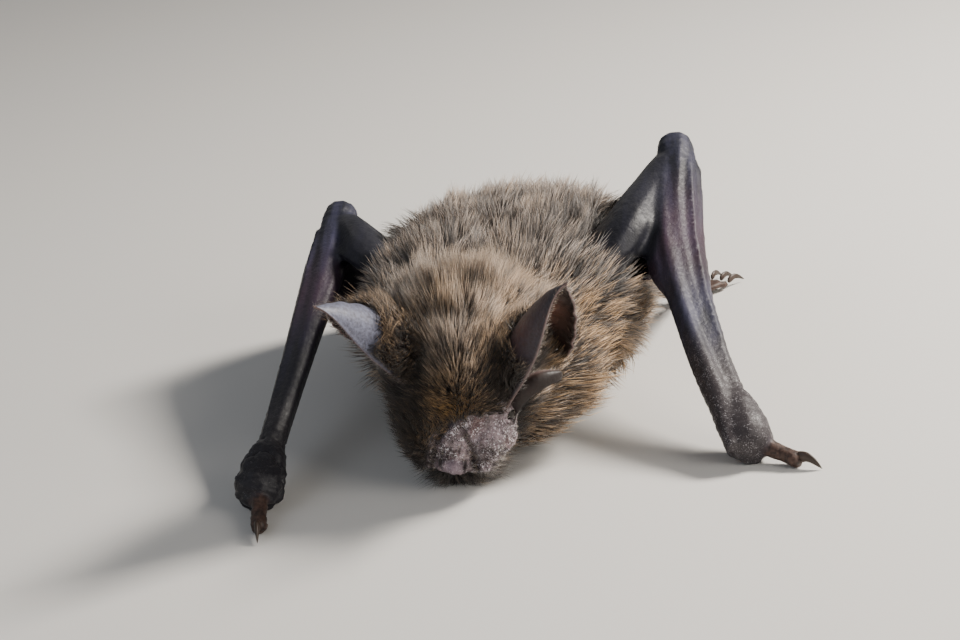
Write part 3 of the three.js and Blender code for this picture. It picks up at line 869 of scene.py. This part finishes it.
eyePaint = dict(pupil=(0.004, 0.003, 0.003), brown=(0.014, 0.009, 0.006))
clawPaint = dict(root=(0.06, 0.034, 0.024), middle=(0.034, 0.021, 0.014), tip=(0.05, 0.034, 0.022),
                 streak=(0.02, 0.012, 0.008))


def polishedEye():
    r = Recipe("polishedEye")
    tint = opaque(eyePaint)
    r.set(Base_Color=r.mix(r.noise(900), tint["pupil"], tint["brown"]))
    r.set(Roughness=0.07, Specular_IOR_Level=0.35)
    return r.material


def hornClaw():
    r = Recipe("hornClaw")
    tint = opaque(clawPaint)
    streak = r.noise(1500, 4, 0.6)
    colour = r.ramp(r.region("along"), [(0.0, tint["root"]), (0.7, tint["middle"]), (1.0, tint["tip"])])
    r.set(Base_Color=r.mix(r.times(streak, 0.4), colour, tint["streak"]))
    r.set(Roughness=r.fade(streak, (0.3, 0.4), (0.7, 0.55)))
    r.set(Normal=r.bump(streak, 0.02, 0.4))
    return r.material


def wholeBody():
    # the skin with both ears and both tragi: points, triangles and the value of every region
    parts = [(skinPoints, skinFaces, regions)]
    parts += [build(side) for side in sides for build in (earLeaf, tragusBlade)]
    starts = np.cumsum([0] + [len(part[0]) for part in parts])
    points = np.concatenate([part[0] for part in parts])
    faces = np.concatenate([part[1] + start for part, start in zip(parts, starts)])
    values = {}
    for key in regions:
        values[key] = np.concatenate([part[2].get(key, np.zeros(len(part[0]))) for part in parts])
    return points, faces, values


bodyPoints, bodyFaces, bodyValues = wholeBody()
bodyNormals = normalsOf(bodyPoints, bodyFaces)


def makeSkin():
    skin = finishedMesh("batSkin", bodyPoints, bodyFaces, bodyValues, batSkin())
    detail = skin.vertex_groups.new(name="detail")
    bare = 1 - bodyValues["cover"]
    keep = np.clip(0.25 + 1.0 * bodyValues["muzzle"] + 0.7 * bodyValues["ear"] + 0.3 * bare, 0, 1)
    for level in np.unique(np.round(keep, 1)):
        detail.add(np.nonzero(np.abs(keep - level) <= 0.05)[0].tolist(), float(1 - level), "REPLACE")
    fewer = skin.modifiers.new("fewer", "DECIMATE")
    fewer.ratio = skinShape["triangles"] / len(bodyFaces)
    fewer.vertex_group = "detail"
    fewer.vertex_group_factor = 2.0
    mesh = settled(skin)
    skin.modifiers.clear()
    skin.data = mesh
    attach(skin, "root")
    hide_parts(*flesh, *[side + part for side in sides for part in ("_ear", "_tragus")])
    print("skin made:", len(mesh.polygons), "faces")


makeSkin()


# eyes and claws

def makeEyes():
    material = polishedEye()
    for side in sides:
        low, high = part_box(side + "_eye")
        bm = bmesh.new()
        bmesh.ops.create_uvsphere(bm, u_segments=28, v_segments=20, radius=(high - low)[2] / 2 * 0.98)
        mesh = bpy.data.meshes.new(side + "Eye")
        bm.to_mesh(mesh)
        bm.free()
        mesh.transform(Matrix.Translation((low + high) / 2))
        mesh.shade_smooth()
        mesh.materials.append(material)
        eye = put(side + "Eye", mesh)
        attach(eye, "root")
        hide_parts(side + "_eye")


clawShape = dict(sides=12, rings=14, arch=0.22, deep=1.25)
clawSizes = dict(thumb=dict(radius=0.4, sunk=0.65, worn=0.22),
                 toe=dict(radius=0.26, sunk=0.3, worn=0))


def makeClaw(name, node, root, tip, radius, material):
    # a hook that arches up from its root and comes down to its point
    along = tip - root
    t = np.linspace(0, 1, clawShape["rings"])
    arch = clawShape["arch"] * np.linalg.norm(along) * np.sin(math.pi * t ** 0.8)
    spine = root + along * t[:, None] + np.array([0, 0, 1.0]) * arch[:, None]
    ahead = unit(np.gradient(spine, axis=0))
    across = unit(np.cross(ahead, [0, 0, 1.0]))
    up = np.cross(across, ahead)
    size = radius * (1 - t ** 1.5) ** 0.8 * smooth(-0.08, 0.12, t) + 0.01
    turnBy = np.linspace(0, 2 * math.pi, clawShape["sides"], endpoint=False)
    ring = (np.cos(turnBy)[None, :, None] * across[:, None] * 0.7
            + np.sin(turnBy)[None, :, None] * up[:, None] * clawShape["deep"])
    points = (spine[:, None] + ring * size[:, None, None]).reshape(-1, 3)
    index = np.arange(len(points)).reshape(clawShape["rings"], clawShape["sides"])
    beside = np.roll(index, -1, axis=1)
    a, b, c, d = index[:-1].ravel(), beside[:-1].ravel(), beside[1:].ravel(), index[1:].ravel()
    walls = np.concatenate([np.stack([a, c, b], 1), np.stack([a, d, c], 1)])
    ends = []
    for row, centre, flip in ((index[0], len(points), 1), (index[-1], len(points) + 1, -1)):
        ends.append(np.stack([row, np.roll(row, -1), np.full(len(row), centre)], 1)[:, ::flip])
    points = np.concatenate([points, spine[:1], spine[-1:]])
    points[:, 2] = np.maximum(points[:, 2], floorGap)
    shade = np.concatenate([np.repeat(t, clawShape["sides"]), [0, 1]])
    claw = finishedMesh(name, points, np.concatenate([walls, *ends]), {"along": shade}, material)
    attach(claw, "root")
    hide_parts(node)


def makeClaws():
    material = hornClaw()
    for side in sides:
        for node in [side + "_thumb_claw"] + [f"{side}_toe_claw_{i}" for i in range(1, 6)]:
            root, tip = endsOf(node)
            words = node.split("_")
            size = clawSizes[words[1]]
            tip = tip - (tip - root) * size["worn"]
            root = root - unit(tip - root) * size["sunk"]
            name = words[0] + "".join(word.title() for word in words[1:])
            makeClaw(name, node, root, tip, size["radius"], material)


makeEyes()
makeClaws()
print("eyes and claws are made")

# coat: tapered tufts of solid hair, rooted in the skin, clumped and laid along the body

coatPaint = dict(
    root=(0.010, 0.007, 0.006), middle=(0.034, 0.020, 0.013), greyTip=(0.62, 0.50, 0.41),
    goldTip=(0.72, 0.42, 0.16), frost=(0.62, 0.57, 0.54), dark=(0.010, 0.007, 0.006),
)


def batFur():
    r = Recipe("batFur")
    tint = opaque(coatPaint)
    tip = r.mix(r.region("warm"), tint["greyTip"], tint["goldTip"])
    along = r.region("along")
    lower = r.mix(r.fade(along, (0.0, 0), (0.55, 1)), tint["root"], tint["middle"])
    colour = r.mix(r.fade(along, (0.45, 0), (0.85, 1)), lower, tip)
    # darkens hairs by the shade markings, most of them painted shade, and by random tone
    colour = r.mix(r.region("shade"), colour, tint["dark"])
    # turns whole hairs pale: real pale hairs on the muzzle, ear rims, chin and crown, and painted sunlight on
    # the back, shoulders and rump
    colour = r.mix(r.region("frost"), colour, tint["frost"])
    r.set(Base_Color=colour, Specular_IOR_Level=0.5, Sheen_Weight=0.2, Sheen_Roughness=0.4)
    r.set(Roughness=r.fade(r.noise(3000, 2), (0.3, 0.34), (0.7, 0.52)))
    return r.material


trunkLow, trunkHigh = (np.array(c) * 1000 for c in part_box("trunk"))
trunkMiddle = (trunkLow + trunkHigh) / 2


def trunkSide(points):
    # -1 on the right flank, 0 on the midline, 1 on the left flank
    return (points[:, 0] - trunkMiddle[0]) / (trunkHigh[0] - trunkMiddle[0])


def lieOfCoat(points, normals, furred):
    # the way the hair lies: from the nose over the crown, along the back to the tail, and down the flanks
    x, y, z = toHead(points).T
    side = trunkSide(points)
    ones = np.ones(len(points))
    headShare = smooth(4.5, 0.5, y) * smooth(11, 8.5, np.abs(x))
    body = np.stack([0.35 * side, ones, -0.55 * np.abs(side)], 1)
    onCrown = np.stack([0.07 * x, ones, -0.3 * smooth(0.5, -3.5, z)], 1)
    aroundEar = np.stack([np.sign(x) * 0.9, 0 * ones, 0.2 * ones], 1)
    onCrown += aroundEar * (bell(np.abs(x), 5.2, 2.0) * bell(y, -1.2, 3.0))[:, None]
    lie = body * (1 - headShare)[:, None] + (onCrown @ headTurn.T) * headShare[:, None]
    outOnEar = np.where(x[:, None] > 0, earFrame("left")[1], earFrame("right")[1])
    lie = unit(lie) * (1 - furred)[:, None] + outOnEar * furred[:, None]
    sway = np.stack([ripple(points, 6, seed) for seed in (41, 42, 43)], 1)
    fineSway = np.stack([ripple(points, 2.0, seed) for seed in (44, 45, 46)], 1)
    lie = unit(lie) + 0.32 * sway + (0.32 + 0.2 * (1 - headShare))[:, None] * fineSway
    return unit(lie - normals * dot(lie, normals)[:, None])


# how strong each marking and each patch of painted shade is, and where the painted shade in the dark hollow
# between the tufts of the back lies
marks = dict(gold=0.18, goldNape=0.3, goldThroat=0.85, goldBrow=0.5, byEar=1.1, face=0.6,
             dusky=0.6, chin=0.65, parting=0.5, collar=0.55, dip=0.9, dipAt=(-2.75, -3.6),
             darkest=0.92)


def markings(points, headShare):
    # warm: golden against grey-brown tips; shade: dark hair round the eyes, dark hair and painted shade under
    # the chin, and painted shade by the ears, on the right cheek, behind the head, along the parting and in a
    # hollow of the back
    x, y, z = toHead(points).T
    length, height = points[:, 1], points[:, 2]
    side = trunkSide(points)
    throat = smooth(0.1, 0.6, side) * smooth(-3, -11, length) * smooth(13, 9, height)
    # painted shade behind the head, on the left side
    collar = smooth(0.15, 0.5, side) * bell(length, -9, 7) * smooth(7, 11, height)
    warm = marks["gold"] + marks["goldNape"] * smooth(12, 0, y)
    warm = warm + marks["goldThroat"] * throat * (1 - headShare) + 0.2 * ripple(points, 3, 51)
    warm += marks["goldBrow"] * headShare * bell(x, 0.3, 1.6) * bell(y, -6.4, 1.2)
    # painted shade in the hollow between the crown fur and each ear
    byEar = blob(np.stack([np.abs(x), y, z], 1), (4.2, -2.3, 2.0), 2.4)
    face = smooth(-2.5, -4.6, y) * smooth(1.0, 3.0, np.abs(x))
    # painted shade on the right cheek and the lower right of the head
    dusky = smooth(-1.0, -4.0, x) * smooth(1.5, -1.5, z)
    # painted shade along the parting down the back
    parting = bell(side, -0.1, 0.07) * smooth(-17, -14, length) * smooth(0, -6, length)
    # painted shade in a hollow between the tufts of the back
    dip = bell(np.hypot(points[:, 0] - marks["dipAt"][0], length - marks["dipAt"][1]), 0, 1.5) * (height > 8)
    # dark hair and painted shade under the chin
    chin = smooth(-3.2, -4.2, z) * smooth(-4.0, -6.0, y)
    onHead = marks["byEar"] * byEar + marks["face"] * face + marks["dusky"] * dusky + marks["chin"] * chin
    onBody = marks["parting"] * parting + marks["collar"] * collar + marks["dip"] * dip
    shade = headShare * np.clip(onHead, 0, marks["darkest"]) + (1 - headShare) * onBody
    return np.clip(warm, 0, 1), np.clip(shade + 0.15 * ripple(points, 1.1, 52), 0, marks["darkest"])


bodyCorners = bodyPoints[bodyFaces]
faceArea = 0.5 * np.linalg.norm(
    np.cross(bodyCorners[:, 1] - bodyCorners[:, 0], bodyCorners[:, 2] - bodyCorners[:, 0]), axis=1)


def scatteredRoots(weights, count, dice):
    # root places, spread over the body in proportion to the weight of its points, and what reads values there
    chance = np.cumsum(weights[bodyFaces].mean(1) * faceArea)
    pick = np.searchsorted(chance, dice.random(count) * chance[-1])
    a, b = dice.random(count), dice.random(count)
    a, b = np.where(a + b > 1, 1 - a, a), np.where(a + b > 1, 1 - b, b)
    share = np.stack([1 - a - b, a, b], 1)
    corner = bodyFaces[pick]

    def blend(values):
        return (values[corner] * share.reshape(count, 3, *[1] * (values.ndim - 1))).sum(1)

    return blend(bodyPoints), unit(blend(bodyNormals)), blend


def gatheredLocks(levels, roots, hairs, pull, dice):
    # hairs that stand close together lean toward the middle of their lock, most at their tips
    count = len(roots) // hairs
    middles = roots[dice.choice(len(roots), count, replace=False)]
    tree = KDTree(count)
    for number, place in enumerate(middles):
        tree.insert(place, number)
    tree.balance()
    lock = np.array([tree.find(root)[1] for root in roots])
    members = np.maximum(np.bincount(lock, minlength=count), 1)

    def meanOf(values):
        return np.stack([np.bincount(lock, values[:, k], count) / members for k in range(3)], 1)[lock]

    axis = unit(meanOf(levels[-1] - levels[0]))
    strength = dice.uniform(0.3, 1.1, count)[lock]
    for number, share in enumerate(pull):
        aside = meanOf(levels[number]) - levels[number]
        aside -= axis * dot(aside, axis)[:, None]
        levels[number] = levels[number] + aside * (share * strength)[:, None]
    return levels, dice.random(count)[lock]


def unwrapped(points, headShare):
    # the coat's own flat map: round the body and along it, with the head's in its own axes
    x, y, z = toHead(points).T
    across, length, height = points.T
    onBody = np.arctan2(across - trunkMiddle[0], height - 5)
    around = np.where(headShare > 0.5, np.arctan2(x, z + 1.5), onBody)
    flat = np.stack([around, np.where(headShare > 0.5, y, length)], 1)
    low, high = flat.min(0), flat.max(0)
    return 0.01 + 0.98 * (flat - low) / (high - low)


# how every tuft is rooted, raised and tapered; the coats below set the rest
tuft = dict(rootDepth=0.12, flankLift=14, liftSway=10, liftSpread=8, shortest=0.55, longest=1.2,
            thin=0.7, stout=1.25, taper={3: (1.0, 0.92, 0.62), 2: (1.0, 0.7)}, patch=0.003,
            mottle=0.95, lockTone=0.8, pale=0.12, darkest=0.94)


def growCoat(name, weights, coat, material, seed):
    dice = np.random.default_rng(seed)
    count = coat["tufts"]
    roots, normals, blend = scatteredRoots(weights, count, dice)
    headShare = blend(bodyValues["head"])
    lie = lieOfCoat(roots, normals, blend(bodyValues["furred"]))
    length = blend(coat["length"] + np.zeros(len(bodyPoints)))
    length = length * dice.uniform(tuft["shortest"], tuft["longest"], count)
    length = length * (1 + 0.15 * ripple(roots, 2.5, 61))
    flat = tuft["flankLift"] * (1 - headShare) * smooth(0.5, 0.9, np.abs(trunkSide(roots)))
    sway = tuft["liftSway"] * ripple(roots, 3, 62)
    lift = np.radians(coat["lift"] - flat + sway + dice.normal(0, tuft["liftSpread"], count))
    stray = dice.normal(0, coat["stray"], (count, 3))
    steps = coat["joints"]
    levels = [roots - normals * tuft["rootDepth"]]
    for step in range(steps):
        bend = lift + np.radians(coat["curl"]) * (0.5 - (step + 0.5) / steps)
        heading = lie * np.cos(bend)[:, None] + normals * np.sin(bend)[:, None] + stray
        levels.append(levels[-1] + unit(heading) * (length / steps)[:, None])
    reach = np.linspace(0, 1, steps + 1)
    lockTone = np.full(count, 0.5)
    for hairs, pull in coat["clumps"]:
        levels, lockTone = gatheredLocks(levels, roots, hairs, pull * reach ** 1.3, dice)
    levels = np.stack(levels, 1)
    levels[:, :, 2] = np.maximum(levels[:, :, 2], 0.03 + 0.25 * dice.random(count)[:, None] * reach)
    ahead = unit(np.gradient(levels, axis=1))
    across = unit(np.cross(ahead, normals[:, None]))
    up = np.cross(across, ahead)
    thick = coat["thick"] * dice.uniform(tuft["thin"], tuft["stout"], count)
    angle = np.radians([90, 210, 330])
    ring = (np.cos(angle)[:, None] * across[:, :steps, None] + np.sin(angle)[:, None] * up[:, :steps, None])
    taper = np.array(tuft["taper"][steps])
    ring = levels[:, :steps, None] + ring * (thick[:, None] * taper)[:, :, None, None]
    points = np.concatenate([ring.reshape(count, steps * 3, 3), levels[:, -1:]], 1)
    size = steps * 3 + 1
    faces = []
    for k in range(size - 1):
        beside = k + 1 if k % 3 < 2 else k - 2
        if k < size - 4:
            faces += [[k, beside, beside + 3], [k, beside + 3, k + 3]]
        else:
            faces.append([k, beside, size - 1])
    faces = (np.array(faces)[None] + (np.arange(count) * size)[:, None, None]).reshape(-1, 3)
    along = np.append(np.repeat(reach[:-1], 3), 1.0)
    warm, shade = markings(roots, headShare)
    mottle = tuft["mottle"] * dice.random(count) ** 0.75 + tuft["lockTone"] * (lockTone - 0.5) - tuft["pale"]
    tone = np.clip(shade + coat.get("mottle", 1) * mottle, 0, tuft["darkest"])
    frost = coat.get("frost", 0) * dice.random(count)
    values = {"along": np.tile(along, count)}
    for key, value in (("warm", warm), ("shade", tone), ("frost", frost)):
        values[key] = np.repeat(value, size)
    piece = finishedMesh(name, points.reshape(-1, 3), faces, values, material)
    patch = np.stack([np.append(np.tile([-0.5, 0.5, 0.0], steps), 0.0), along - 0.5], 1) * tuft["patch"]
    corners = (unwrapped(roots, headShare)[:, None] + patch).reshape(-1, 2)[faces.ravel()]
    piece.data.uv_layers.new(name="OFBake").data.foreach_set("uv", corners.astype(np.float32).ravel())
    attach(piece, "root")
    print(name, len(faces), "triangles")


def growAllCoats():
    material = batFur()
    x, y, z = toHead(bodyPoints).T
    length, height = bodyPoints[:, 1], bodyPoints[:, 2]
    side = trunkSide(bodyPoints)
    arm, ear, furred = (bodyValues[key] for key in ("arm", "ear", "furred"))
    head = bodyValues["head"]
    headFur = bodyValues["cover"] * head
    body = bodyValues["cover"] * (1 - head) * (1 - 0.92 * arm)
    low = smooth(4.5, 2.0, height) * body
    chin = head * smooth(-3.7, -4.2, z) * smooth(-4.5, -5.5, y)
    crown = headFur * smooth(-3.4, -2.4, y) * smooth(-2.5, -1.0, z)
    brow = headFur * smooth(-2.2, -3.4, y) * (1 - chin)
    cheek = headFur * smooth(-0.6, -2.0, z) * smooth(-6.0, -5.0, y)
    fore, hind = smooth(-8.0, -12.0, length), smooth(4.0, 8.0, length)
    back = body * (1 - fore) * (1 - hind) * (1 - low)
    muzzle = bodyValues["muzzle"] * head * smooth(-9.4, -8.6, y)
    lip = smooth(1.0, 2.0, x) * smooth(-1.8, -2.6, z)
    headLength = np.interp(y, (-7.5, -5, -3, 0, 3), (0.8, 1.35, 2.1, 3.0, 4.0))
    headLength += 0.8 * smooth(-2.0, -3.5, x) * smooth(-2.5, -5.0, y)
    bodyLength = 3.7 - 2.9 * arm - 0.8 * smooth(6.0, 2.0, height)

    locks = dict(joints=3, stray=0.12, curl=50, tufts=13200, thick=0.04)
    # pale whole hairs on the trunk are painted sunlight on the back, shoulders and rump
    trunkLocks = dict(locks, length=bodyLength, lift=44, frost=0.2, clumps=[(60, 0.5), (8, 0.55)])
    hairs = dict(joints=2, stray=0.14, curl=44, thick=0.028, length=headLength)
    crownHairs = dict(hairs, tufts=20000, lift=46, thick=0.034, frost=0.06, clumps=[(60, 0.5), (7, 0.6)])
    down = dict(hairs, clumps=[])
    coats = [
        ("coatLeftCrown", crown * (x > 0), crownHairs),
        ("coatRightCrown", crown * (x <= 0), crownHairs),
        ("coatBrow", brow, dict(hairs, tufts=16000, lift=40, thick=0.026, clumps=[(6, 0.5)])),
        ("coatCheeks", cheek, dict(hairs, tufts=10000, length=2.3, lift=44, clumps=[(8, 0.55)])),
        ("coatShoulders", body * fore * (1 - low), trunkLocks),
        ("coatLeftBack", back * (side > 0), trunkLocks),
        ("coatRightBack", back * (side <= 0), trunkLocks),
        ("coatRump", body * hind * (1 - low), dict(trunkLocks, joints=2, tufts=10000, lift=36)),
        ("coatBelly", low, dict(locks, joints=2, tufts=6000, length=2.6, lift=24, clumps=[(8, 0.6)])),
        ("coatChin", chin, dict(
            hairs, tufts=5500, length=2.7, lift=64, thick=0.025, frost=0.25, clumps=[(5, 0.5)])),
        ("coatMuzzle", muzzle, dict(
            down, tufts=5000, length=0.4 + 0.6 * lip, lift=34, thick=0.013, mottle=0.2, frost=0.8)),
        ("coatEarRims", bodyValues["rim"] * ear, dict(
            down, tufts=1600, length=0.55, lift=30, thick=0.011, mottle=0.3, frost=0.7)),
        ("coatEars", furred, dict(hairs, tufts=6500, length=2.3, lift=30, clumps=[(7, 0.5)])),
    ]
    for seed, (name, weights, coat) in enumerate(coats):
        growCoat(name, weights, coat, material, 100 + seed)


growAllCoats()
print("coat grown")
